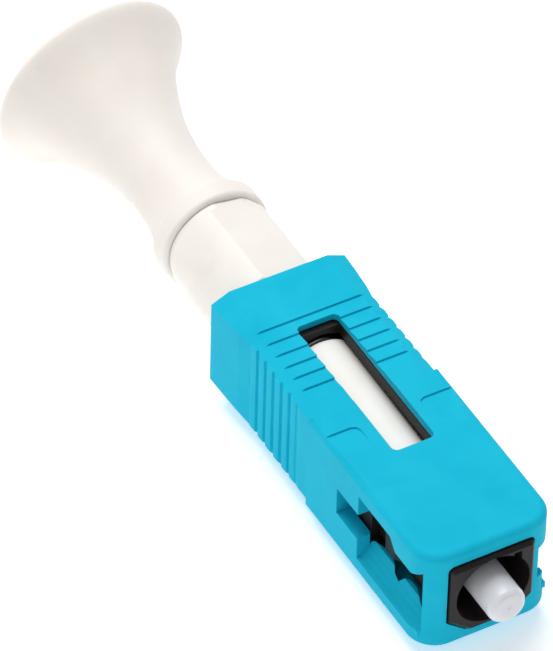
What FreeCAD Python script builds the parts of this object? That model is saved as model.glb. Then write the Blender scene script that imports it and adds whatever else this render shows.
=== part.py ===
import FreeCAD, Part
import math
import os
import Sketcher
from FreeCAD import Placement, Rotation, Vector

# Field-installable SC optical fibre connector, push-pull style.
# Millimetres.  +X is the optical axis and points out of the front, +Z is up
# (the key is underneath), +Y completes the frame.  X = 0 is
# the plug body's nominal front plane, just inside the sliding housing's front
# face; Y = Z = 0 is the ferrule axis.

doc = FreeCAD.newDocument("FibreConnector")
sheet = doc.addObject("Spreadsheet::Sheet", "Sizes")
rows = [0]


class Size:
    """A length with the sheet expression it comes from."""

    def __init__(self, value, text):
        self.value = float(value)
        self.text = text

    def __neg__(self):
        return Size(-self.value, "-(%s)" % self.text)

    def __add__(self, other):
        other = as_size(other)
        return Size(self.value + other.value, "(%s + %s)" % (self.text, other.text))

    def __sub__(self, other):
        other = as_size(other)
        return Size(self.value - other.value, "(%s - (%s))" % (self.text, other.text))

    def __mul__(self, factor):
        return Size(self.value * factor, "(%s) * %s" % (self.text, repr(float(factor))))


def as_size(x):
    return x if isinstance(x, Size) else Size(x, repr(float(x)))


def size(alias, value, note=""):
    rows[0] += 1
    sheet.set("A%d" % rows[0], note or alias.replace("_", " "))
    sheet.set("B%d" % rows[0], repr(float(value)))
    sheet.setAlias("B%d" % rows[0], alias)
    return Size(value, "Sizes." + alias)


def points(name, pairs):
    """A profile kept in the sheet, two cells to a point."""
    out = []
    for i, (a, b) in enumerate(pairs):
        out.append((size("%s_along_%02d" % (name, i), a), size("%s_across_%02d" % (name, i), b)))
    return out


# ------------------------------------------------------------------ the sizes
housing_front = size("housing_front", 0.25, "front face of the outer housing")
housing_rear = size("housing_rear", -25.35, "rear face of the outer housing")
housing_half_width = size("housing_half_width", 4.5, "9.0 wide standard body")
housing_half_height = size("housing_half_height", 3.7, "7.4 high standard body")
block_rear = size("block_rear", -13.7, "rear end of the plain front block")
grip_top = size("grip_top", 3.65)
grip_bottom = size("grip_bottom", -3.59)
front_corner_radius = size("front_corner_radius", 1.85)
top_edge_radius = size("top_edge_radius", 0.46)
bottom_edge_radius = size("bottom_edge_radius", 0.14)
bevel_across = size("bevel_across", 1.23, "grip top bevel, sideways")
bevel_down = size("bevel_down", 0.56, "grip top bevel, downwards")
bottom_bevel = size("bottom_bevel", 0.45)
cavity_rear_half_width = size("cavity_rear_half_width", 3.5)
cavity_rear_half_height = size("cavity_rear_half_height", 3.15)
cavity_step = size("cavity_step", -7.65, "shoulder between the rear and middle cavity")
cavity_mid_half_width = size("cavity_mid_half_width", 3.6)
cavity_mid_top = size("cavity_mid_top", 2.74)
cavity_mid_bottom = size("cavity_mid_bottom", -3.0)
front_wall = size("front_wall", 0.8, "thickness of the front wall round the plug frame")
frame_gap = size("frame_gap", 0.1, "gap round the plug frame in the front opening")
window_rear = size("window_rear", -20.78)
window_front = size("window_front", -8.83)
window_half = size("window_half", 1.42)
window_corner = size("window_corner", 0.4)
key_rear = size("key_rear", -12.0)
key_front = size("key_front", -5.0)
key_half = size("key_half", 1.15)
key_bottom = size("key_bottom", -4.65)
key_corner = size("key_corner", 0.3)
slot_notch_depth = size("slot_notch_depth", 3.3)
slot_notch_top = size("slot_notch_top", 1.35)
slot_step_depth = size("slot_step_depth", 3.85)
slot_step_bottom = size("slot_step_bottom", -2.6)
slot_notch_bottom = size("slot_notch_bottom", -1.1)
rib_depth = size("rib_depth", 0.14, "depth of the grip ribs on top")
rib_half = size("rib_half", 3.85, "half length of the grip ribs on top")
relief_rear = size("relief_rear", -11.8, "step at the rear of each shallow top relief")
relief_run = size("relief_run", 1.75)
relief_depth = size("relief_depth", 0.13)
relief_inner = size("relief_inner", 2.25)
relief_rear_right = size("relief_rear_right", -12.0)
relief_inner_right = size("relief_inner_right", 1.98)
relief_corner = size("relief_corner", 0.45)
scoop_low = size("scoop_low", -2.72, "outer edge of the scoop under the side slot")
scoop_high = size("scoop_high", -1.6, "inner edge of the scoop")
scoop_inner = size("scoop_inner", 3.35)
catch_window_rear = size("catch_window_rear", -18.0, "stop window under the housing")
catch_window_front = size("catch_window_front", -14.85)
catch_window_half = size("catch_window_half", 1.35)

frame_front = size("frame_front", 0.6)
frame_corner = size("frame_corner", 0.38, "rounded upper corners of the plug frame")
frame_rear = size("frame_rear", -25.0)
frame_step = size("frame_step", -7.8)
frame_half_width = size("frame_half_width", 2.82)
frame_top = size("frame_top", 2.64)
frame_bottom = size("frame_bottom", -2.89)
frame_bevel_across = size("frame_bevel_across", 1.39)
frame_bevel_up = size("frame_bevel_up", 1.16)
frame_edge = size("frame_edge", 0.2)
frame_rear_half_width = size("frame_rear_half_width", 3.4)
frame_rear_half_height = size("frame_rear_half_height", 3.05)
frame_rear_corner = size("frame_rear_corner", 0.35)
bore_radius = size("bore_radius", 2.476, "receptacle bore round the ferrule")
bore_depth = size("bore_depth", -5.2)
shoulder_rear = size("shoulder_rear", -5.9)
shoulder_radius = size("shoulder_radius", 1.6)
throat_radius = size("throat_radius", 2.36)
throat_rear = size("throat_rear", -8.25)
chamber_radius = size("chamber_radius", 2.62)
frame_window_rear = size("frame_window_rear", -20.35)
frame_window_front = size("frame_window_front", -8.6)
lug_half_height = size("lug_half_height", 1.3)
catch_front = size("catch_front", -15.0)
catch_rear = size("catch_rear", -16.42)
catch_half = size("catch_half", 1.2)
catch_reach = size("catch_reach", -3.4)
keyway_half = size("keyway_half", 0.26)
keyway_centre = size("keyway_centre", 1.6)
keyway_top = size("keyway_top", 2.28)
keyway_depth = size("keyway_depth", 1.3)

ferrule_radius = size("ferrule_radius", 1.25, "2.5 mm ferrule")
ferrule_tip = size("ferrule_tip", 2.46)
ferrule_rear = size("ferrule_rear", -8.0)
ferrule_seat = size("ferrule_seat", -5.1)
ferrule_spigot = size("ferrule_spigot", 1.0)
ferrule_bevel_radial = size("ferrule_bevel_radial", 0.46)
ferrule_bevel_axial = size("ferrule_bevel_axial", 0.46)
fibre_radius = size("fibre_radius", 0.0625, "125 micrometre glass")
fibre_hole = size("fibre_hole", 0.0635)
fibre_rear = size("fibre_rear", -26.0)

holder_nose = size("holder_nose", 1.55)
holder_front = size("holder_front", -6.0)
holder_front_radius = size("holder_front_radius", 2.18)
holder_rear = size("holder_rear", -20.25)
holder_rear_radius = size("holder_rear_radius", 2.45)
tail_radius = size("tail_radius", 1.45)
tail_rear = size("tail_rear", -34.5)
tail_bore = size("tail_bore", 1.0)
tail_bore_front = size("tail_bore_front", -21.0)
core_bore = size("core_bore", 0.3)
keel_slot_half = size("keel_slot_half", 0.36)
keel_slot_front = size("keel_slot_front", -26.3)
keel_slot_rear = size("keel_slot_rear", -30.7)

splice_radius = size("splice_radius", 0.97)
splice_front = size("splice_front", -21.2)
splice_rear = size("splice_rear", -31.45)
splice_gap = size("splice_gap", 0.01)
groove_depth = size("groove_depth", 0.13)
keel_half = size("keel_half", 0.3)
keel_top = size("keel_top", 1.6)
keel_front = size("keel_front", -26.5)
keel_rear = size("keel_rear", -30.5)

spring_radius = size("spring_radius", 2.0)
spring_wire = size("spring_wire", 0.38, "wire diameter")
spring_turns = size("spring_turns", 4.5)
retainer_front = size("retainer_front", -24.0)
retainer_outer = size("retainer_outer", 2.6)
retainer_inner = size("retainer_inner", 1.6)

cam_front = size("cam_front", -25.5)
cam_neck_front = size("cam_neck_front", -32.35)
cam_rear = size("cam_rear", -32.85)
cam_radius = size("cam_radius", 3.52)
cam_neck_radius = size("cam_neck_radius", 3.36)
cam_flat = size("cam_flat", 3.2, "axis to flat")
cam_turn = size("cam_turn", -10.4, "turn of the flats about the axis, degrees")
cam_bore = size("cam_bore", 1.5)
cam_land = size("cam_land", -26.2)
cam_track = size("cam_track", 1.65, "radius of the eccentric track")
cam_offset = size("cam_offset", 0.08)
cam_front_edge = size("cam_front_edge", 0.2)

crimp_front = size("crimp_front", -33.1)
crimp_rear = size("crimp_rear", -37.2)
crimp_outer = size("crimp_outer", 1.8)
crimp_waist = size("crimp_waist", 1.68)
lead_front = size("lead_front", -31.6)
lead_rear = size("lead_rear", -36.9)
lead_outer = size("lead_outer", 0.98)
lead_inner = size("lead_inner", 0.5)
lead_funnel = size("lead_funnel", 0.85)

boot_pivot = size("boot_pivot", -33.0, "where the flare starts to lean")
boot_pivot_side = size("boot_pivot_side", -0.064)
boot_pivot_up = size("boot_pivot_up", -0.029)
boot_lean_side = size("boot_lean_side", 0.0553)
boot_lean_up = size("boot_lean_up", 0.1219)
boot_ring_front = size("boot_ring_front", -32.92)
boot_ring_rear = size("boot_ring_rear", -34.35)
boot_ring_radius = size("boot_ring_radius", 3.7)
boot_ring_edge = size("boot_ring_edge", 0.3)
boot_ring_back_edge = size("boot_ring_back_edge", 0.12)
boot_start = size("boot_start", 0.5, "where the flare begins, inside the ring")

# half-width of the grip against X: rear flare, valley, saw-tooth ribs, neck
grip_side = points("grip_side", [
    (-25.35, 4.62), (-24.00, 4.55), (-22.30, 4.40), (-21.60, 4.27), (-21.20, 4.20), (-21.00, 4.26),
    (-20.75, 4.27), (-20.45, 4.25), (-20.40, 4.12), (-20.25, 4.12), (-20.00, 4.29), (-19.75, 4.30),
    (-19.45, 4.28), (-19.40, 4.15), (-19.25, 4.15), (-19.00, 4.31), (-18.75, 4.32), (-18.45, 4.30),
    (-18.40, 4.17), (-18.25, 4.17), (-18.00, 4.32), (-17.75, 4.33), (-17.45, 4.31), (-17.40, 4.18),
    (-17.25, 4.18), (-17.00, 4.33), (-16.75, 4.34), (-16.45, 4.32), (-16.40, 4.19), (-16.25, 4.19),
    (-16.05, 4.34), (-15.80, 4.35), (-15.50, 4.33), (-15.45, 4.27), (-15.30, 4.27), (-14.90, 4.35),
    (-13.50, 4.35)])
# saw-tooth ribs across the top: each pair is the X of a step
rib_steps = [size("rib_step_%d" % i, x) for i, x in
             enumerate((-21.45, -20.30, -19.20, -18.10, -17.05, -15.95, -14.85))]
# side slot seen from the side: X against Z
slot_outline = points("slot_outline", [
    (-10.1, -1.1), (-7.6, -1.1), (-7.6, -2.6), (-0.54, -2.6), (-0.54, 2.2),
    (-0.85, 1.98), (-1.37, 1.7), (-3.25, 1.7), (-3.55, 2.05), (-3.9, 2.47),
    (-7.6, 2.47), (-7.6, 0.93), (-10.1, 0.93)])
# inner edge of the release ramps along the bottom of the slot: X against Y
ramp_edge = points("ramp_edge", [
    (-7.6, 3.44), (-7.35, 3.36), (-7.0, 3.24), (-6.5, 3.13), (-5.8, 3.08), (-5.3, 3.24), (-4.75, 3.52),
    (-4.2, 3.60), (-3.95, 3.40), (-3.7, 3.14), (-3.3, 3.08), (-2.8, 3.09), (-2.35, 3.30),
    (-1.7, 3.50), (-0.6, 3.58)])
# locking lugs on the sides of the plug frame: X against Y
lug_outline = points("lug_outline", [(-6.6, 2.6), (-6.35, 3.3), (-5.3, 3.3), (-4.1, 2.6)])
# boot outside, along its own leaning axis: distance against radius
boot_outside = points("boot_outside", [
    (0.5, 3.34), (1.1, 3.28), (1.955, 3.150), (2.9, 2.915), (3.806, 2.745), (4.7, 2.680), (5.549, 2.690),
    (6.4, 2.752), (7.18, 2.852), (8.0, 3.010), (8.692, 3.190), (9.4, 3.420), (10.081, 3.680), (10.8, 3.975),
    (11.336, 4.225), (11.95, 4.52), (12.449, 4.810), (12.95, 5.15), (13.406, 5.530), (13.82, 5.92),
    (14.187, 6.28)])
boot_lip = points("boot_lip", [(14.45, 6.50), (14.70, 6.615), (14.90, 6.56), (15.02, 6.38), (15.04, 6.20)])
# boot inside, the trumpet mouth
boot_inside = points("boot_inside", [
    (3.6, 1.12), (4.4, 1.20), (5.3, 1.36), (6.8, 1.66), (8.4, 2.08), (9.9, 2.62), (11.2, 3.22), (12.4, 3.95),
    (13.4, 4.75), (14.2, 5.45), (14.75, 5.85), (15.04, 6.20)])

doc.recompute()


def number(alias):
    """The value of a sheet cell."""
    return float(sheet.get(alias))


def read_points(pairs):
    return [(number(a.text.split(".")[1]), number(b.text.split(".")[1])) for a, b in pairs]


# ------------------------------------------------------------------- helpers
def new_body(label):
    b = doc.addObject("PartDesign::Body", label)
    b.Label = label
    b.Placement = Placement()
    return b


def new_sketch(b, name, role, offset=None):
    """Sketch on one of the body's own origin planes, moved along its normal."""
    s = b.newObject("Sketcher::SketchObject", name)
    origin_plane = [f for f in b.Origin.OriginFeatures if f.Role == role][0]
    s.AttachmentSupport = [(origin_plane, "")]
    s.MapMode = "FlatFace"
    if offset is not None:
        offset = as_size(offset)
        s.AttachmentOffset = Placement(Vector(0, 0, offset.value), Rotation())
        s.setExpression("AttachmentOffset.Base.z", offset.text)
    return s


def pin_point(s, geo, pos, x, y):
    """Fix a sketch point by two dimensions read from the sheet."""
    for kind, value in (("DistanceX", as_size(x)), ("DistanceY", as_size(y))):
        if abs(value.value) < 1e-9:
            s.addConstraint(Sketcher.Constraint("PointOnObject", geo, pos, -2 if kind == "DistanceX" else -1))
        else:
            c = s.addConstraint(Sketcher.Constraint(kind, -1, 1, geo, pos, value.value))
            s.setExpression("Constraints[%d]" % c, value.text)


def outline(s, pts):
    """Closed straight-sided outline."""
    pts = [(as_size(x), as_size(y)) for x, y in pts]
    n = len(pts)
    ids = []
    for i in range(n):
        a, b = pts[i], pts[(i + 1) % n]
        ids.append(s.addGeometry(Part.LineSegment(Vector(a[0].value, a[1].value, 0),
                                                  Vector(b[0].value, b[1].value, 0)), False))
    for i in range(n):
        s.addConstraint(Sketcher.Constraint("Coincident", ids[i], 2, ids[(i + 1) % n], 1))
    for i in range(n):
        pin_point(s, ids[i], 1, pts[i][0], pts[i][1])
    return ids


def circle(s, x, y, radius):
    x, y, radius = as_size(x), as_size(y), as_size(radius)
    g = s.addGeometry(Part.Circle(Vector(x.value, y.value, 0), Vector(0, 0, 1), radius.value), False)
    if abs(x.value) < 1e-9 and abs(y.value) < 1e-9:
        s.addConstraint(Sketcher.Constraint("Coincident", g, 3, -1, 1))
    else:
        pin_point(s, g, 3, x, y)
    c = s.addConstraint(Sketcher.Constraint("Radius", g, radius.value))
    s.setExpression("Constraints[%d]" % c, radius.text)
    return g


def box_outline(s, x0, y0, x1, y1):
    return outline(s, [(x0, y0), (x1, y0), (x1, y1), (x0, y1)])


def set_length(f, length):
    length = as_size(length)
    f.Length = length.value
    f.setExpression("Length", length.text)


def volume(b):
    return b.Shape.Volume if not b.Shape.isNull() else 0.0


def pad(b, s, name, length):
    """Solid from the sketch, along the sketch normal."""
    before = volume(b)
    f = b.newObject("PartDesign::Pad", name)
    f.Profile = s
    set_length(f, length)
    doc.recompute()
    if not volume(b) > before:
        raise RuntimeError(name + " added nothing")
    return f


def pocket(b, s, name, length):
    """Cut from the sketch, along the sketch normal."""
    before = volume(b)
    f = b.newObject("PartDesign::Pocket", name)
    f.Profile = s
    set_length(f, length)
    f.Reversed = True
    doc.recompute()
    if not volume(b) < before - 1e-6:
        raise RuntimeError(name + " cut nothing")
    return f


def turn(b, s, name, cut=False):
    """Revolve an X against radius outline (drawn on XY) about the X axis."""
    before = volume(b)
    f = b.newObject("PartDesign::Groove" if cut else "PartDesign::Revolution", name)
    f.Profile = s
    f.ReferenceAxis = (s, ["H_Axis"])
    f.Angle = 360.0
    doc.recompute()
    if cut and not volume(b) < before - 1e-6:
        raise RuntimeError(name + " cut nothing")
    if not cut and not volume(b) > before:
        raise RuntimeError(name + " added nothing")
    return f


def edge_names(feature, wanted):
    return ["Edge%d" % (i + 1) for i, e in enumerate(feature.Shape.Edges) if wanted(e)]


def near(a, b, tol=1e-4):
    return abs(a - b) < tol


def dress(b, kind, name, base, names, amount):
    """Fillet or chamfer on the named edges."""
    amount = as_size(amount)
    if not names:
        raise RuntimeError(name + " found no edge")
    f = b.newObject("PartDesign::" + kind, name)
    f.Base = (base, names)
    prop = "Radius" if kind == "Fillet" else "Size"
    setattr(f, prop, amount.value)
    f.setExpression(prop, amount.text)
    doc.recompute()
    return f


def ends(e):
    return [v.Point for v in e.Vertexes]


# -------------------------------------------------------------- outer housing
b = new_body("outer_housing")
s = new_sketch(b, "BlockPlan", "XY_Plane", -housing_half_height)
box_outline(s, block_rear, -housing_half_width, housing_front, housing_half_width)
f = pad(b, s, "Block", housing_half_height * 2)
f = dress(b, "Fillet", "FrontCorners", f, edge_names(f, lambda e: len(e.Vertexes) == 2 and all(near(p.x, number("housing_front")) for p in ends(e))
          and near(ends(e)[0].y, ends(e)[1].y)), front_corner_radius)
top = number("housing_half_height")
rear_x = number("block_rear")
f = dress(b, "Fillet", "TopEdges", f, edge_names(f, lambda e: len(e.Vertexes) == 2 and all(near(p.z, top) for p in ends(e))
          and not all(near(p.x, rear_x) for p in ends(e))), top_edge_radius)
f = dress(b, "Fillet", "BottomEdges", f, edge_names(f, lambda e: len(e.Vertexes) == 2 and all(near(p.z, -top) for p in ends(e))
          and not all(near(p.x, rear_x) for p in ends(e))), bottom_edge_radius)

s = new_sketch(b, "GripPlan", "XY_Plane", grip_bottom)
outline(s, list(grip_side) + [(x, -y) for x, y in reversed(grip_side)])
pad(b, s, "Grip", grip_top - grip_bottom)

# bevels along the grip, over the full length behind the block
s = new_sketch(b, "GripBevelSection", "YZ_Plane", housing_rear - 0.5)
grip_half = grip_side[0][1]
for side in (1, -1):
    inner = grip_half - bevel_across * 1.5
    outer = grip_half + bevel_across * 0.5
    high = grip_top + bevel_down * 0.5
    low = grip_top - bevel_down * 1.5
    outline(s, [(inner * side, high), (outer * side, low), (outer * side, high + 0.3), (inner * side, high + 0.3)])
    inner = grip_half - bottom_bevel * 1.5
    outer = grip_half + bottom_bevel * 0.5
    low = grip_bottom - bottom_bevel * 0.5
    high = grip_bottom + bottom_bevel * 1.5
    outline(s, [(inner * side, low), (outer * side, high), (outer * side, low - 0.3), (inner * side, low - 0.3)])
pocket(b, s, "GripBevels", block_rear - housing_rear + 0.48)

# saw-tooth ribs across the top of the grip
s = new_sketch(b, "TopRibSection", "XZ_Plane", -rib_half)
for i in range(len(rib_steps) - 1):
    a, c = rib_steps[i], rib_steps[i + 1]
    outline(s, [(a, grip_top + 0.1), (a, grip_top - rib_depth), (c - 0.12, grip_top), (c - 0.12, grip_top + 0.1)])
pocket(b, s, "TopRibs", rib_half * 2)

# inside: rear cavity, middle cavity and the close front opening
s = new_sketch(b, "RearCavitySection", "YZ_Plane", housing_rear - 0.5)
box_outline(s, -cavity_rear_half_width, -cavity_rear_half_height, cavity_rear_half_width, cavity_rear_half_height)
pocket(b, s, "RearCavity", cavity_step - housing_rear + 0.5)
s = new_sketch(b, "MiddleCavitySection", "YZ_Plane", cavity_step - 0.1)
box_outline(s, -cavity_mid_half_width, cavity_mid_bottom, cavity_mid_half_width, cavity_mid_top)
pocket(b, s, "MiddleCavity", housing_front - front_wall - cavity_step + 0.1)
s = new_sketch(b, "FrontOpeningSection", "YZ_Plane", housing_front - front_wall - 0.1)
w = frame_half_width + frame_gap
t = frame_top + frame_gap
u = frame_bottom - frame_gap
cut_a = frame_bevel_across - frame_gap * 0.4
cut_b = frame_bevel_up - frame_gap * 0.4
k = frame_corner
outline(s, [(-w, t - k), (-w, u + cut_b), (-w + cut_a, u), (w - cut_a, u), (w, u + cut_b), (w, t - k),
            (w - k * 0.134, t - k * 0.5), (w - k * 0.5, t - k * 0.134), (w - k, t),
            (-w + k, t), (-w + k * 0.5, t - k * 0.134), (-w + k * 0.134, t - k * 0.5)])
pocket(b, s, "FrontOpening", front_wall + 0.3)

# window over the ferrule holder
s = new_sketch(b, "WindowPlan", "XY_Plane", Size(2.9, "2.9"))
box_outline(s, window_rear, -window_half, window_front, window_half)
f = pocket(b, s, "Window", Size(1.2, "1.2"))
wx0, wx1, wy = number("window_rear"), number("window_front"), number("window_half")
f = dress(b, "Fillet", "WindowCorners", f, edge_names(f, lambda e: len(e.Vertexes) == 2 and near(ends(e)[0].x, ends(e)[1].x)
          and near(abs(ends(e)[0].y), wy) and near(ends(e)[0].y, ends(e)[1].y)
          and (near(ends(e)[0].x, wx0) or near(ends(e)[0].x, wx1)) and e.Length < 1.0), window_corner)

# coupling slots through both side walls
s = new_sketch(b, "SlotSection", "XZ_Plane", -Size(5.0, "5.0"))
outline(s, slot_outline)
pocket(b, s, "Slots", Size(10.0, "10.0"))

# release ramps along the bottom of each slot, scooped outwards
for side, tag in ((1, "Right"), (-1, "Left")):
    s = new_sketch(b, "Ramp%sPlan" % tag, "XY_Plane", cavity_mid_bottom - 0.1)
    pts = [(x, y * side) for x, y in ramp_edge]
    back = (housing_half_width - 0.12) * side
    outline(s, pts + [(Size(-0.6, "-0.6"), back), (Size(-7.6, "-7.6"), back)])
    pad(b, s, "Ramp%s" % tag, scoop_high - cavity_mid_bottom + 0.1)
s = new_sketch(b, "ScoopSection", "YZ_Plane", Size(-7.6, "-7.6"))
for side in (1, -1):
    depth = scoop_high - scoop_low
    across = housing_half_width - scoop_inner
    outline(s, [(scoop_inner * side, scoop_high + 0.1), (scoop_inner * side, scoop_high),
                ((scoop_inner + across * 0.2) * side, scoop_high - depth * 0.33),
                ((scoop_inner + across * 0.42) * side, scoop_high - depth * 0.61),
                ((scoop_inner + across * 0.7) * side, scoop_high - depth * 0.85),
                (housing_half_width * side, scoop_low),
                ((housing_half_width + 0.2) * side, scoop_low), ((housing_half_width + 0.2) * side, scoop_high + 0.1)])
pocket(b, s, "Scoops", Size(7.05, "7.05"))

# narrow relief through the front bar of the right-hand slot
s = new_sketch(b, "BarReliefSection", "YZ_Plane", Size(-0.7, "-0.7"))
outline(s, [(slot_notch_depth, slot_notch_bottom), (slot_notch_depth, slot_notch_top),
            (housing_half_width + 0.2, slot_notch_top), (housing_half_width + 0.2, slot_step_bottom),
            (slot_step_depth, slot_step_bottom), (slot_step_depth, slot_notch_bottom)])
pocket(b, s, "BarRelief", Size(1.2, "1.2"))

# shallow reliefs on top, a step behind and fading out forwards
slope = math.degrees(math.atan2(number("relief_depth"), number("relief_run")))
for side, tag in ((1, "Right"), (-1, "Left")):
    s = b.newObject("Sketcher::SketchObject", "Relief%sPlan" % tag)
    xy = [g for g in b.Origin.OriginFeatures if g.Role == "XY_Plane"][0]
    s.AttachmentSupport = [(xy, "")]
    s.MapMode = "FlatFace"
    start = relief_rear_right if side > 0 else relief_rear
    s.AttachmentOffset = Placement(Vector(start.value, 0, top - number("relief_depth")),
                                   Rotation(Vector(0, 1, 0), -slope))
    s.setExpression("AttachmentOffset.Base.x", start.text)
    s.setExpression("AttachmentOffset.Base.z", "Sizes.housing_half_height - Sizes.relief_depth")
    s.setExpression("AttachmentOffset.Rotation.Angle", "atan2(Sizes.relief_depth; Sizes.relief_run) * -1")
    far = relief_run * 1.3
    edge = (housing_half_width + 0.1) * side
    near_y = (relief_inner_right if side > 0 else relief_inner) * side
    outline(s, [(Size(0, "0"), edge), (Size(0, "0"), near_y + relief_corner * side),
                (relief_corner * 0.3, near_y + relief_corner * (0.3 * side)),
                (relief_corner, near_y), (far, near_y), (far, edge)])
    pocket(b, s, "Relief%s" % tag, Size(0.5, "0.5"))

# stop window in the underside, round the plug frame's catch
s = new_sketch(b, "CatchWindowPlan", "XY_Plane", -Size(4.2, "4.2"))
box_outline(s, catch_window_rear, -catch_window_half, catch_window_front, catch_window_half)
pocket(b, s, "CatchWindow", Size(1.2, "1.2"))

# polarity key underneath
s = new_sketch(b, "KeyPlan", "XY_Plane", key_bottom)
box_outline(s, key_rear, -key_half, key_front, key_half)
f = pad(b, s, "Key", -housing_half_height - key_bottom + 0.1)
kb = number("key_bottom")
f = dress(b, "Fillet", "KeyEdges", f, edge_names(f, lambda e: len(e.Vertexes) == 2 and all(near(p.z, kb) for p in ends(e))), key_corner)

# ----------------------------------------------------------------- plug frame
b = new_body("plug_frame")
s = new_sketch(b, "FrontSection", "YZ_Plane", frame_step - 0.4)
outline(s, [(-frame_half_width, frame_top), (-frame_half_width, frame_bottom + frame_bevel_up),
            (-frame_half_width + frame_bevel_across, frame_bottom),
            (frame_half_width - frame_bevel_across, frame_bottom),
            (frame_half_width, frame_bottom + frame_bevel_up), (frame_half_width, frame_top)])
f = pad(b, s, "FrontPart", frame_front - frame_step + 0.4)
ft, fw = number("frame_top"), number("frame_half_width")
f = dress(b, "Fillet", "FrontCorners", f, edge_names(f, lambda e: len(e.Vertexes) == 2 and all(near(p.z, ft) and near(abs(p.y), fw) for p in ends(e))
          and near(ends(e)[0].y, ends(e)[1].y)), frame_corner)
fx = number("frame_front")
f = dress(b, "Chamfer", "FrontEdges", f, edge_names(f, lambda e: all(near(p.x, fx) for p in ends(e))), frame_edge)
s = new_sketch(b, "RearSection", "YZ_Plane", frame_rear)
w, t, c = frame_rear_half_width, frame_rear_half_height, frame_rear_corner
outline(s, [(-w, -t + c), (-w + c, -t), (w - c, -t), (w, -t + c), (w, t - c), (w - c, t), (-w + c, t), (-w, t - c)])
pad(b, s, "RearPart", frame_step - frame_rear)
s = new_sketch(b, "LugPlan", "XY_Plane", -lug_half_height)
for side in (1, -1):
    outline(s, [(x, y * side) for x, y in lug_outline])
pad(b, s, "Lugs", lug_half_height * 2)
s = new_sketch(b, "CatchPlan", "XY_Plane", catch_reach)
box_outline(s, catch_rear, -catch_half, catch_front, catch_half)
f = pad(b, s, "Catch", -frame_rear_half_height - catch_reach + 0.2)
s = new_sketch(b, "BoreSection", "XY_Plane")
outline(s, [(frame_front + 0.2, 0), (frame_front + 0.2, bore_radius), (bore_depth, bore_radius),
            (bore_depth, shoulder_radius), (shoulder_rear, shoulder_radius), (shoulder_rear, throat_radius),
            (throat_rear, throat_radius), (throat_rear, chamber_radius), (frame_rear - 0.2, chamber_radius),
            (frame_rear - 0.2, 0)])
turn(b, s, "Bore", cut=True)
s = new_sketch(b, "FrameWindowPlan", "XY_Plane", Size(1.9, "1.9"))
box_outline(s, frame_window_rear, -window_half, frame_window_front, window_half)
pocket(b, s, "FrameWindow", Size(1.5, "1.5"))
s = new_sketch(b, "KeywaySection", "YZ_Plane", frame_front - keyway_depth)
box_outline(s, keyway_centre - keyway_half, Size(1.3, "1.3"), keyway_centre + keyway_half, keyway_top)
pocket(b, s, "Keyway", keyway_depth + 0.2)

# -------------------------------------------------------------------- ferrule
b = new_body("ferrule")
s = new_sketch(b, "Section", "XY_Plane")
outline(s, [(ferrule_rear, fibre_hole), (ferrule_rear, ferrule_spigot), (ferrule_seat, ferrule_spigot),
            (ferrule_seat, ferrule_radius), (ferrule_tip - ferrule_bevel_axial, ferrule_radius),
            (ferrule_tip - ferrule_bevel_axial * 0.617, ferrule_radius - ferrule_bevel_radial * 0.076),
            (ferrule_tip - ferrule_bevel_axial * 0.293, ferrule_radius - ferrule_bevel_radial * 0.293),
            (ferrule_tip - ferrule_bevel_axial * 0.076, ferrule_radius - ferrule_bevel_radial * 0.617),
            (ferrule_tip, ferrule_radius - ferrule_bevel_radial), (ferrule_tip, fibre_hole)])
turn(b, s, "Turned")

b = new_body("fibre_stub")
s = new_sketch(b, "Section", "XY_Plane")
outline(s, [(fibre_rear, 0), (ferrule_tip, 0), (ferrule_tip, fibre_radius), (fibre_rear, fibre_radius)])
turn(b, s, "Drawn")

# ------------------------------------------------------------- ferrule holder
b = new_body("ferrule_holder")
s = new_sketch(b, "Section", "XY_Plane")
outline(s, [(ferrule_seat, ferrule_spigot), (ferrule_seat, holder_nose), (holder_front, holder_nose),
            (holder_front, holder_front_radius - 0.15), (holder_front - 0.15, holder_front_radius),
            (holder_rear + 0.25, holder_rear_radius), (holder_rear, holder_rear_radius - 0.25),
            (holder_rear, tail_radius), (tail_rear, tail_radius), (tail_rear, tail_bore),
            (tail_bore_front, tail_bore), (tail_bore_front, core_bore), (ferrule_rear, core_bore),
            (ferrule_rear, ferrule_spigot)])
turn(b, s, "Turned")
s = new_sketch(b, "KeelSlotPlan", "XY_Plane", Size(0.5, "0.5"))
box_outline(s, keel_slot_rear, -keel_slot_half, keel_slot_front, keel_slot_half)
pocket(b, s, "KeelSlot", Size(1.5, "1.5"))

# ------------------------------------------------------------ splice elements
b = new_body("splice_lower")
s = new_sketch(b, "Section", "XY_Plane")
outline(s, [(splice_rear, 0), (splice_front, 0), (splice_front, splice_radius), (splice_rear, splice_radius)])
turn(b, s, "Rod")
s = new_sketch(b, "SplitSection", "YZ_Plane", splice_rear - 0.2)
outline(s, [(-splice_radius - 0.2, -splice_gap), (-groove_depth, -splice_gap), (Size(0, "0"), -groove_depth),
            (groove_depth, -splice_gap), (splice_radius + 0.2, -splice_gap), (splice_radius + 0.2, splice_radius + 0.2),
            (-splice_radius - 0.2, splice_radius + 0.2)])
pocket(b, s, "Split", splice_front - splice_rear + 0.4)

b = new_body("splice_upper")
s = new_sketch(b, "Section", "XY_Plane")
outline(s, [(splice_rear, 0), (splice_front, 0), (splice_front, splice_radius), (splice_rear, splice_radius)])
turn(b, s, "Rod")
s = new_sketch(b, "SplitSection", "YZ_Plane", splice_rear - 0.2)
outline(s, [(-splice_radius - 0.2, splice_gap), (-splice_radius - 0.2, -splice_radius - 0.2),
            (splice_radius + 0.2, -splice_radius - 0.2), (splice_radius + 0.2, splice_gap)])
pocket(b, s, "Split", splice_front - splice_rear + 0.4)
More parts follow.
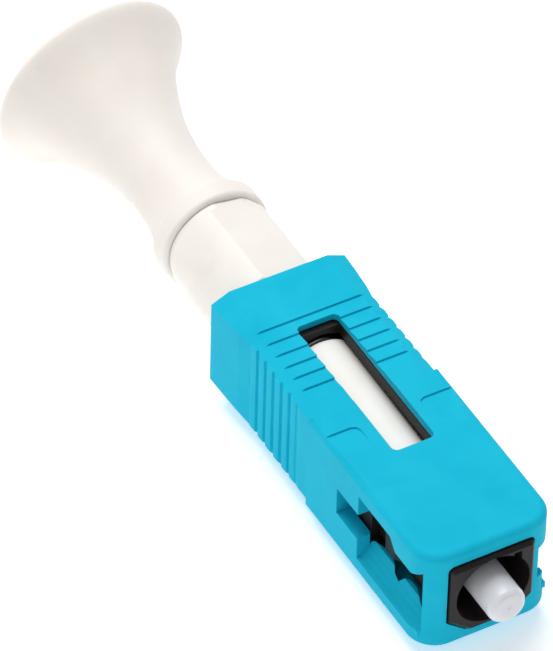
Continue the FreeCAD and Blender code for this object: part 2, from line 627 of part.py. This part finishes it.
# the glass needs its own height over the lower groove
s = new_sketch(b, "GlassReliefSection", "YZ_Plane", splice_rear - 0.2)
outline(s, [(-fibre_radius - 0.01, Size(0, "0")), (fibre_radius + 0.01, Size(0, "0")),
            (fibre_radius + 0.01, fibre_radius + 0.01), (-fibre_radius - 0.01, fibre_radius + 0.01)])
pocket(b, s, "GlassRelief", splice_front - splice_rear + 0.4)
s = new_sketch(b, "KeelPlan", "XY_Plane", Size(0.5, "0.5"))
box_outline(s, keel_rear, -keel_half, keel_front, keel_half)
pad(b, s, "Keel", keel_top - 0.5)

# ------------------------------------------------------- spring and retainer
b = new_body("spring")
s = new_sketch(b, "WireSection", "XY_Plane")
half = spring_wire * 0.5
circle(s, retainer_front + half, spring_radius, half)
f = b.newObject("PartDesign::AdditiveHelix", "Coil")
f.Profile = s
f.ReferenceAxis = (s, ["H_Axis"])
f.Mode = "height-turns-angle"
f.Height = (holder_rear - retainer_front - spring_wire).value
f.setExpression("Height", (holder_rear - retainer_front - spring_wire).text)
f.Turns = spring_turns.value
f.setExpression("Turns", spring_turns.text)
doc.recompute()

b = new_body("spring_retainer")
s = new_sketch(b, "Section", "XY_Plane")
outline(s, [(frame_rear, retainer_inner), (retainer_front, retainer_inner), (retainer_front, retainer_outer),
            (frame_rear, retainer_outer)])
turn(b, s, "Turned")

# ------------------------------------------------------------------ cam sleeve
b = new_body("cam")
s = new_sketch(b, "Section", "XY_Plane")
outline(s, [(cam_front, cam_bore), (cam_front, cam_radius - cam_front_edge), (cam_front - cam_front_edge, cam_radius),
            (cam_neck_front, cam_radius), (cam_neck_front - 0.12, cam_neck_radius), (cam_rear, cam_neck_radius),
            (cam_rear, cam_bore)])
turn(b, s, "Turned")
for sign, tag in ((1, "Upper"), (-1, "Lower")):
    s = b.newObject("Sketcher::SketchObject", "Flat%sSection" % tag)
    yz = [g for g in b.Origin.OriginFeatures if g.Role == "YZ_Plane"][0]
    s.AttachmentSupport = [(yz, "")]
    s.MapMode = "FlatFace"
    s.AttachmentOffset = Placement(Vector(0, 0, number("cam_rear") - 0.2), Rotation(Vector(0, 0, 1), number("cam_turn")))
    s.setExpression("AttachmentOffset.Base.z", "Sizes.cam_rear - 0.2")
    s.setExpression("AttachmentOffset.Rotation.Angle", "Sizes.cam_turn")
    box_outline(s, Size(-4.0, "-4.0"), cam_flat * sign, Size(4.0, "4.0"), Size(4.2 * sign, "%g" % (4.2 * sign)))
    pocket(b, s, "Flat%s" % tag, cam_front - cam_rear + 0.4)
s = b.newObject("Sketcher::SketchObject", "TrackSection")
s.AttachmentSupport = [(yz, "")]
s.MapMode = "FlatFace"
s.AttachmentOffset = Placement(Vector(0, 0, number("cam_rear") - 0.2), Rotation(Vector(0, 0, 1), number("cam_turn")))
s.setExpression("AttachmentOffset.Base.z", "Sizes.cam_rear - 0.2")
s.setExpression("AttachmentOffset.Rotation.Angle", "Sizes.cam_turn")
circle(s, 0, cam_offset, cam_track)
pocket(b, s, "Track", cam_land - cam_rear + 0.2)

# ---------------------------------------------------- crimp and lead-in tubes
b = new_body("crimp_tube")
s = new_sketch(b, "Section", "XY_Plane")
waist = [(0.30, 0), (0.38, 1), (0.48, 1), (0.56, 0)]
outer = [(crimp_front, crimp_outer)]
span = crimp_rear - crimp_front
for k, dip in waist:
    outer.append((crimp_front + span * k, crimp_waist if dip else crimp_outer))
outline(s, [(crimp_rear, tail_radius), (crimp_front, tail_radius)] + outer + [(crimp_rear, crimp_outer)])
turn(b, s, "Drawn")

b = new_body("lead_in_tube")
s = new_sketch(b, "Section", "XY_Plane")
outline(s, [(lead_front, lead_inner), (lead_front, lead_outer), (lead_rear, lead_outer), (lead_rear, lead_funnel),
            (lead_rear + 0.6, lead_inner)])
turn(b, s, "Moulded")

# ------------------------------------------------------------------------ boot
# The trumpet is a free-form turned shape that leans off the optical axis, so
# its outline is interpolated through the profile cells and revolved.
lean_side, lean_up = number("boot_lean_side"), number("boot_lean_up")
axis = Vector(-1, -lean_side, lean_up).normalize()
pivot = Vector(number("boot_pivot"), number("boot_pivot_side"), number("boot_pivot_up"))
radial = axis.cross(Vector(0, 1, 0)).normalize()


def boot_point(along, across):
    return pivot + axis * along + radial * across


outside = [boot_point(a, r) for a, r in read_points(boot_outside)]
lip = [boot_point(a, r) for a, r in read_points(boot_lip)]
inside = [boot_point(a, r) for a, r in read_points(boot_inside)]
curve_out = Part.BSplineCurve()
curve_out.interpolate(Points=outside)
end_slope = curve_out.tangent(curve_out.LastParameter)[0]
curve_lip = Part.BSplineCurve()
curve_lip.interpolate(Points=[outside[-1]] + lip, InitialTangent=end_slope, FinalTangent=(inside[-2] - inside[-1]).normalize())
curve_in = Part.BSplineCurve()
curve_in.interpolate(Points=inside)
first_in = inside[0]
line_throat = Part.LineSegment(first_in, boot_point(read_points(boot_inside)[0][0], 0))
start = number("boot_start")
line_axis = Part.LineSegment(boot_point(read_points(boot_inside)[0][0], 0), boot_point(start, 0))
line_front = Part.LineSegment(boot_point(start, 0), outside[0])
wire = Part.Wire([curve_out.toShape(), curve_lip.toShape(), curve_in.toShape(), line_throat.toShape(),
                  line_axis.toShape(), line_front.toShape()])
flare = Part.Face(wire).revolve(pivot, axis, 360)
flare = Part.makeSolid(flare) if flare.ShapeType != "Solid" else flare
if flare.Volume < 0:
    flare.reverse()
flare_feature = doc.addObject("Part::Feature", "BootFlare")
flare_feature.Shape = flare
flare_feature.Placement = Placement()


def cylinder(name, start, end, radius):
    """Part::Cylinder along -X from start to end, sizes bound to the sheet."""
    c = doc.addObject("Part::Cylinder", name)
    c.Radius = radius.value
    c.setExpression("Radius", radius.text)
    c.Height = (start - end).value
    c.setExpression("Height", (start - end).text)
    c.Placement = Placement(Vector(start.value, 0, 0), Rotation(Vector(0, 1, 0), -90))
    c.setExpression("Placement.Base.x", start.text)
    return c


ring = cylinder("BootRing", boot_ring_front, boot_ring_rear, boot_ring_radius)
doc.recompute()
ring_round = doc.addObject("Part::Fillet", "BootRingRounded")
ring_round.Base = ring
rounding = []
for i, e in enumerate(ring.Shape.Edges):
    if e.isClosed():
        radius = number("boot_ring_edge" if near(e.CenterOfMass.x, number("boot_ring_front"), 0.01) else "boot_ring_back_edge")
        rounding.append((i + 1, radius, radius))
ring_round.Edges = rounding
doc.recompute()
outer_body = doc.addObject("Part::MultiFuse", "BootSolid")
outer_body.Shapes = [flare_feature, ring_round]
seat = cylinder("BootSeat", boot_ring_front + 0.5, crimp_rear, crimp_outer)
boot = doc.addObject("Part::Cut", "boot")
boot.Base = outer_body
boot.Tool = seat
boot.Label = "boot"
boot.Placement = Placement()

# ----------------------------------------------------------- check and export
doc.recompute()
NODES = ["outer_housing", "plug_frame", "ferrule", "fibre_stub", "ferrule_holder", "splice_lower", "splice_upper",
         "spring", "spring_retainer", "cam", "crimp_tube", "lead_in_tube", "boot"]
for obj in doc.Objects:
    if "Invalid" in obj.State or "Error" in obj.State:
        raise RuntimeError("%s is in state %s" % (obj.Label, obj.State))
shapes = {}
for node in NODES:
    obj = doc.getObjectsByLabel(node)[0]
    shape = obj.Shape
    if shape.isNull() or not shape.isValid():
        raise RuntimeError(node + " has no valid shape")
    if len(shape.Solids) != 1:
        raise RuntimeError("%s has %d solids" % (node, len(shape.Solids)))
    shapes[node] = shape
os.makedirs("parts", exist_ok=True)
for node, shape in shapes.items():
    shape.exportStep("parts/%s.step" % node)
    box = shape.BoundBox
    print("%-16s volume %9.3f  X %.2f %.2f  Y %.2f %.2f  Z %.2f %.2f" % (
        node, shape.Volume, box.XMin, box.XMax, box.YMin, box.YMax, box.ZMin, box.ZMax))
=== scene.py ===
import math
import bpy
import bmesh
from mathutils import Matrix, Vector


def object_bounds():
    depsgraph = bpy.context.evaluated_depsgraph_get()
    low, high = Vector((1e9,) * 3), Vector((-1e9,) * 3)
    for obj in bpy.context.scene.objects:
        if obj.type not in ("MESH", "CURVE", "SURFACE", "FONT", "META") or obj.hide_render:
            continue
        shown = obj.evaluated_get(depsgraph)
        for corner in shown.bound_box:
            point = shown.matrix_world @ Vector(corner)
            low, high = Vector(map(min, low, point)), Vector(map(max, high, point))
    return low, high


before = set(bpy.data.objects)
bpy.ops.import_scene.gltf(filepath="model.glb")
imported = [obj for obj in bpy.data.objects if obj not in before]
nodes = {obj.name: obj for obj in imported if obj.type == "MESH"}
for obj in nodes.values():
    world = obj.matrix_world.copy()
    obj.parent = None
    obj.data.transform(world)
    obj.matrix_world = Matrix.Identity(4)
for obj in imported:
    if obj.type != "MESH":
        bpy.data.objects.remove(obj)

cad_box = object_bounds()
MM = 0.001
scene = bpy.context.scene


# ---------------------------------------------------------------- materials
def new_material(name):
    m = bpy.data.materials.new(name)
    m.use_nodes = True
    nt = m.node_tree
    bsdf = nt.nodes["Principled BSDF"]
    return m, nt, bsdf


def tex_coord(nt):
    return nt.nodes.new("ShaderNodeTexCoord").outputs["Object"]


def noise(nt, coord, scale, detail=4.0, rough=0.55, distortion=0.0):
    n = nt.nodes.new("ShaderNodeTexNoise")
    n.inputs["Scale"].default_value = scale
    n.inputs["Detail"].default_value = detail
    n.inputs["Roughness"].default_value = rough
    n.inputs["Distortion"].default_value = distortion
    nt.links.new(coord, n.inputs["Vector"])
    return n.outputs["Fac"]


def ramp(nt, fac, stops):
    r = nt.nodes.new("ShaderNodeValToRGB")
    els = r.color_ramp.elements
    els[0].position, els[0].color = stops[0][0], stops[0][1]
    els[1].position, els[1].color = stops[-1][0], stops[-1][1]
    for pos, col in stops[1:-1]:
        e = els.new(pos)
        e.color = col
    nt.links.new(fac, r.inputs["Fac"])
    return r.outputs["Color"]


def maprange(nt, fac, a, b, c, d):
    r = nt.nodes.new("ShaderNodeMapRange")
    for i, v in zip(("From Min", "From Max", "To Min", "To Max"), (a, b, c, d)):
        r.inputs[i].default_value = v
    nt.links.new(fac, r.inputs["Value"])
    return r.outputs["Result"]


def bump(nt, height, strength, distance, normal=None):
    b = nt.nodes.new("ShaderNodeBump")
    b.inputs["Strength"].default_value = strength
    b.inputs["Distance"].default_value = distance
    nt.links.new(height, b.inputs["Height"])
    if normal is not None:
        nt.links.new(normal, b.inputs["Normal"])
    return b.outputs["Normal"]


def lin(r, g, b):
    def f(c):
        c /= 255.0
        return c / 12.92 if c <= 0.04045 else ((c + 0.055) / 1.055) ** 2.4
    return (f(r), f(g), f(b), 1.0)


def moulded(name, base, light, dark, rough, rough_span, coarse=260.0, fine=2600.0,
            bump_coarse=0.02, bump_fine=0.05, subsurface=0.0, sub_radius=(0.4, 0.4, 0.4), sub_scale=0.001,
            specular=0.5, coat=0.0, sheen=0.0, ior=1.5):
    """Moulded plastic: slight flow-mark variation of colour, fine tool texture in roughness and bump."""
    m, nt, bsdf = new_material(name)
    co = tex_coord(nt)
    broad = noise(nt, co, coarse, 3.0, 0.5, 0.6)
    grain = noise(nt, co, fine, 2.0, 0.6)
    col = ramp(nt, broad, [(0.3, dark), (0.5, base), (0.72, light)])
    nt.links.new(col, bsdf.inputs["Base Color"])
    mix = nt.nodes.new("ShaderNodeMath")
    mix.operation = "MULTIPLY_ADD"
    nt.links.new(grain, mix.inputs[0])
    mix.inputs[1].default_value = 0.5
    nt.links.new(broad, mix.inputs[2])
    nt.links.new(maprange(nt, mix.outputs[0], 0.45, 1.05, rough - rough_span, rough + rough_span), bsdf.inputs["Roughness"])
    n1 = bump(nt, broad, bump_coarse, 0.0004)
    n2 = bump(nt, grain, bump_fine, 0.00002, n1)
    nt.links.new(n2, bsdf.inputs["Normal"])
    bsdf.inputs["Specular IOR Level"].default_value = specular
    bsdf.inputs["IOR"].default_value = ior
    if subsurface:
        bsdf.inputs["Subsurface Weight"].default_value = subsurface
        bsdf.inputs["Subsurface Radius"].default_value = sub_radius
        bsdf.inputs["Subsurface Scale"].default_value = sub_scale
    if coat:
        bsdf.inputs["Coat Weight"].default_value = coat
        bsdf.inputs["Coat Roughness"].default_value = 0.2
    if sheen:
        bsdf.inputs["Sheen Weight"].default_value = sheen
        bsdf.inputs["Sheen Roughness"].default_value = 0.6
    return m


aqua = moulded("aqua_plastic", lin(26, 185, 216), lin(32, 189, 219), lin(20, 181, 212), 0.5, 0.05,
               subsurface=0.08, sub_radius=(0.2, 0.8, 1.0), sub_scale=0.0006, specular=0.4, ior=1.12)
black = moulded("black_plastic", lin(31, 26, 27), lin(37, 31, 32), lin(26, 22, 23), 0.46, 0.07, specular=0.22)
ceramic = moulded("ferrule_ceramic", lin(224, 226, 231), lin(230, 232, 236), lin(216, 218, 224), 0.2, 0.04,
                  coarse=180.0, bump_coarse=0.004, bump_fine=0.01, subsurface=0.5, sub_radius=(1.0, 1.0, 1.05), sub_scale=0.0008)
white = moulded("white_plastic", lin(240, 234, 227), lin(243, 238, 232), lin(236, 229, 221), 0.44, 0.05,
                subsurface=0.25, sub_radius=(1.0, 0.8, 0.6), sub_scale=0.0007)
boot_mat = moulded("boot_elastomer", lin(240, 234, 228), lin(243, 238, 233), lin(236, 229, 222), 0.56, 0.05,
                   coarse=150.0, subsurface=0.3, sub_radius=(1.0, 0.8, 0.6), sub_scale=0.0008)
holder_mat = moulded("holder_plastic", lin(251, 247, 240), lin(253, 250, 245), lin(248, 243, 235), 0.5, 0.05,
                     subsurface=0.3, sub_radius=(1.0, 0.9, 0.8), sub_scale=0.0009)
clear = moulded("splice_plastic", lin(214, 220, 224), lin(222, 227, 230), lin(204, 210, 216), 0.3, 0.05, subsurface=0.3)
glass = moulded("fibre_glass", lin(222, 226, 231), lin(230, 233, 237), lin(212, 217, 223), 0.1, 0.03)


def drawn_metal(name, base, dark, rough):
    m, nt, bsdf = new_material(name)
    co = tex_coord(nt)
    mapping = nt.nodes.new("ShaderNodeMapping")
    mapping.inputs["Scale"].default_value = (1.0, 14.0, 14.0)
    nt.links.new(co, mapping.inputs["Vector"])
    streak = noise(nt, mapping.outputs["Vector"], 700.0, 3.0, 0.6)
    nt.links.new(ramp(nt, streak, [(0.3, dark), (0.7, base)]), bsdf.inputs["Base Color"])
    nt.links.new(maprange(nt, streak, 0.3, 0.7, rough - 0.08, rough + 0.08), bsdf.inputs["Roughness"])
    nt.links.new(bump(nt, streak, 0.15, 0.00001), bsdf.inputs["Normal"])
    bsdf.inputs["Metallic"].default_value = 1.0
    return m


steel = drawn_metal("spring_wire", lin(190, 190, 192), lin(150, 150, 154), 0.3)
alloy = drawn_metal("crimp_alloy", lin(205, 205, 208), lin(170, 170, 174), 0.36)

finish = {
    "outer_housing": aqua, "plug_frame": black, "ferrule": ceramic, "fibre_stub": glass,
    "ferrule_holder": holder_mat, "splice_lower": clear, "splice_upper": clear, "spring": steel,
    "spring_retainer": black, "cam": white, "crimp_tube": alloy, "lead_in_tube": white, "boot": boot_mat,
}
for name, mat in finish.items():
    obj = nodes[name]
    obj.data.materials.clear()
    obj.data.materials.append(mat)


# ------------------------------------------------ softened edges on CAD nodes
def mark_creases(obj, least=3.0):
    """Marks as sharp the edges where the surfaces on the two sides meet at an angle, and keeps tangent joins smooth."""
    me = obj.data
    at = [tuple(round(c * 5e6) for c in v.co) for v in me.vertices]
    normals = [n.vector.copy() for n in me.corner_normals]
    sides = {}
    for p in me.polygons:
        loops = list(p.loop_indices)
        for i, li in enumerate(loops):
            lj = loops[(i + 1) % len(loops)]
            va, vb = at[me.loops[li].vertex_index], at[me.loops[lj].vertex_index]
            na, nb = normals[li], normals[lj]
            if va > vb:
                va, vb, na, nb = vb, va, nb, na
            sides.setdefault((va, vb), []).append((na, nb))
    limit = math.cos(math.radians(least))
    sharp = set()
    for key, both in sides.items():
        if len(both) == 2 and (both[0][0].dot(both[1][0]) < limit or both[0][1].dot(both[1][1]) < limit):
            sharp.add(key)
    for e in me.edges:
        va, vb = at[e.vertices[0]], at[e.vertices[1]]
        e.use_edge_sharp = (min(va, vb), max(va, vb)) in sharp
    for p in me.polygons:
        p.use_smooth = True
    if "custom_normal" in me.attributes:
        me.attributes.remove(me.attributes["custom_normal"])


def soften(name, width, segments=2, angle=28.0):
    obj = nodes[name]
    mark_creases(obj)
    w = obj.modifiers.new("weld", "WELD")
    w.merge_threshold = 0.000002
    d = obj.modifiers.new("flat_faces", "DECIMATE")
    d.decimate_type = "DISSOLVE"
    d.angle_limit = math.radians(0.4)
    b = obj.modifiers.new("edges", "BEVEL")
    b.width = width
    b.segments = segments
    b.limit_method = "ANGLE"
    b.angle_limit = math.radians(angle)
    b.use_clamp_overlap = True
    b.harden_normals = False
    n = obj.modifiers.new("shading", "WEIGHTED_NORMAL")
    n.mode = "FACE_AREA"
    n.weight = 60
    n.keep_sharp = True


soften("outer_housing", 0.00008, 2)
soften("plug_frame", 0.00007, 2)
soften("ferrule_holder", 0.00006, 2)
soften("cam", 0.00008, 2)
soften("ferrule", 0.00005, 2)

# ------------------------------------------------------------ floor and light
lowest = cad_box[0][2]
bpy.ops.mesh.primitive_plane_add(size=1.2, location=(0, 0, lowest - 0.00002))
floor = bpy.context.object
floor.name = "floor"
fm, nt, bsdf = new_material("floor_card")
co = tex_coord(nt)
nt.links.new(ramp(nt, noise(nt, co, 40.0, 3.0), [(0.3, (0.955, 0.955, 0.955, 1)), (0.7, (0.97, 0.97, 0.97, 1))]), bsdf.inputs["Base Color"])
bsdf.inputs["Roughness"].default_value = 0.9
bsdf.inputs["Specular IOR Level"].default_value = 0.1
bsdf.inputs["Emission Color"].default_value = (1.0, 1.0, 1.0, 1.0)
bsdf.inputs["Emission Strength"].default_value = 0.38
floor.data.materials.append(fm)

world = bpy.data.worlds.new("studio")
scene.world = world
world.use_nodes = True
bg = world.node_tree.nodes["Background"]
bg.inputs["Color"].default_value = (1.0, 1.0, 1.0, 1.0)
bg.inputs["Strength"].default_value = 0.38


def area(name, position, target, size, energy, colour=(1, 1, 1)):
    data = bpy.data.lights.new(name, "AREA")
    data.shape = "DISK"
    data.size = size
    data.energy = energy
    data.color = colour
    obj = bpy.data.objects.new(name, data)
    scene.collection.objects.link(obj)
    obj.location = Vector(position) * MM
    direction = (Vector(target) - Vector(position)) * MM
    obj.rotation_euler = direction.to_track_quat("-Z", "Y").to_euler()
    return obj


area("key", (-140, 0, 310), (-20, 0, 0), 0.28, 0.92)
area("fill", (160, -240, 220), (-10, 0, 0), 0.25, 0.12)

scene.view_settings.view_transform = "Standard"
scene.view_settings.look = "None"
scene.view_settings.exposure = 0.0
scene.view_settings.gamma = 1.0

# --------------------------------------------------------------------- camera
right = Vector((0.4879888, 0.8726192, 0.0200651))
down = Vector((0.6148033, -0.3273126, -0.7175537))
ahead = Vector((-0.6195836, 0.3624943, -0.6962141))
cam_data = bpy.data.cameras.new("camera")
cam_data.sensor_fit = "VERTICAL"
cam_data.sensor_height = 24.0
cam_data.lens = 7674.55 * 24.0 / 651.0
cam_data.clip_start = 0.01
cam_data.clip_end = 20.0
camera = bpy.data.objects.new("camera", cam_data)
scene.collection.objects.link(camera)
m = Matrix.Identity(4)
for i in range(3):
    m[i][0] = right[i]
    m[i][1] = -down[i]
    m[i][2] = -ahead[i]
m[0][3], m[1][3], m[2][3] = 0.2635043, -0.1690306, 0.3238435
camera.matrix_world = m
scene.camera = camera
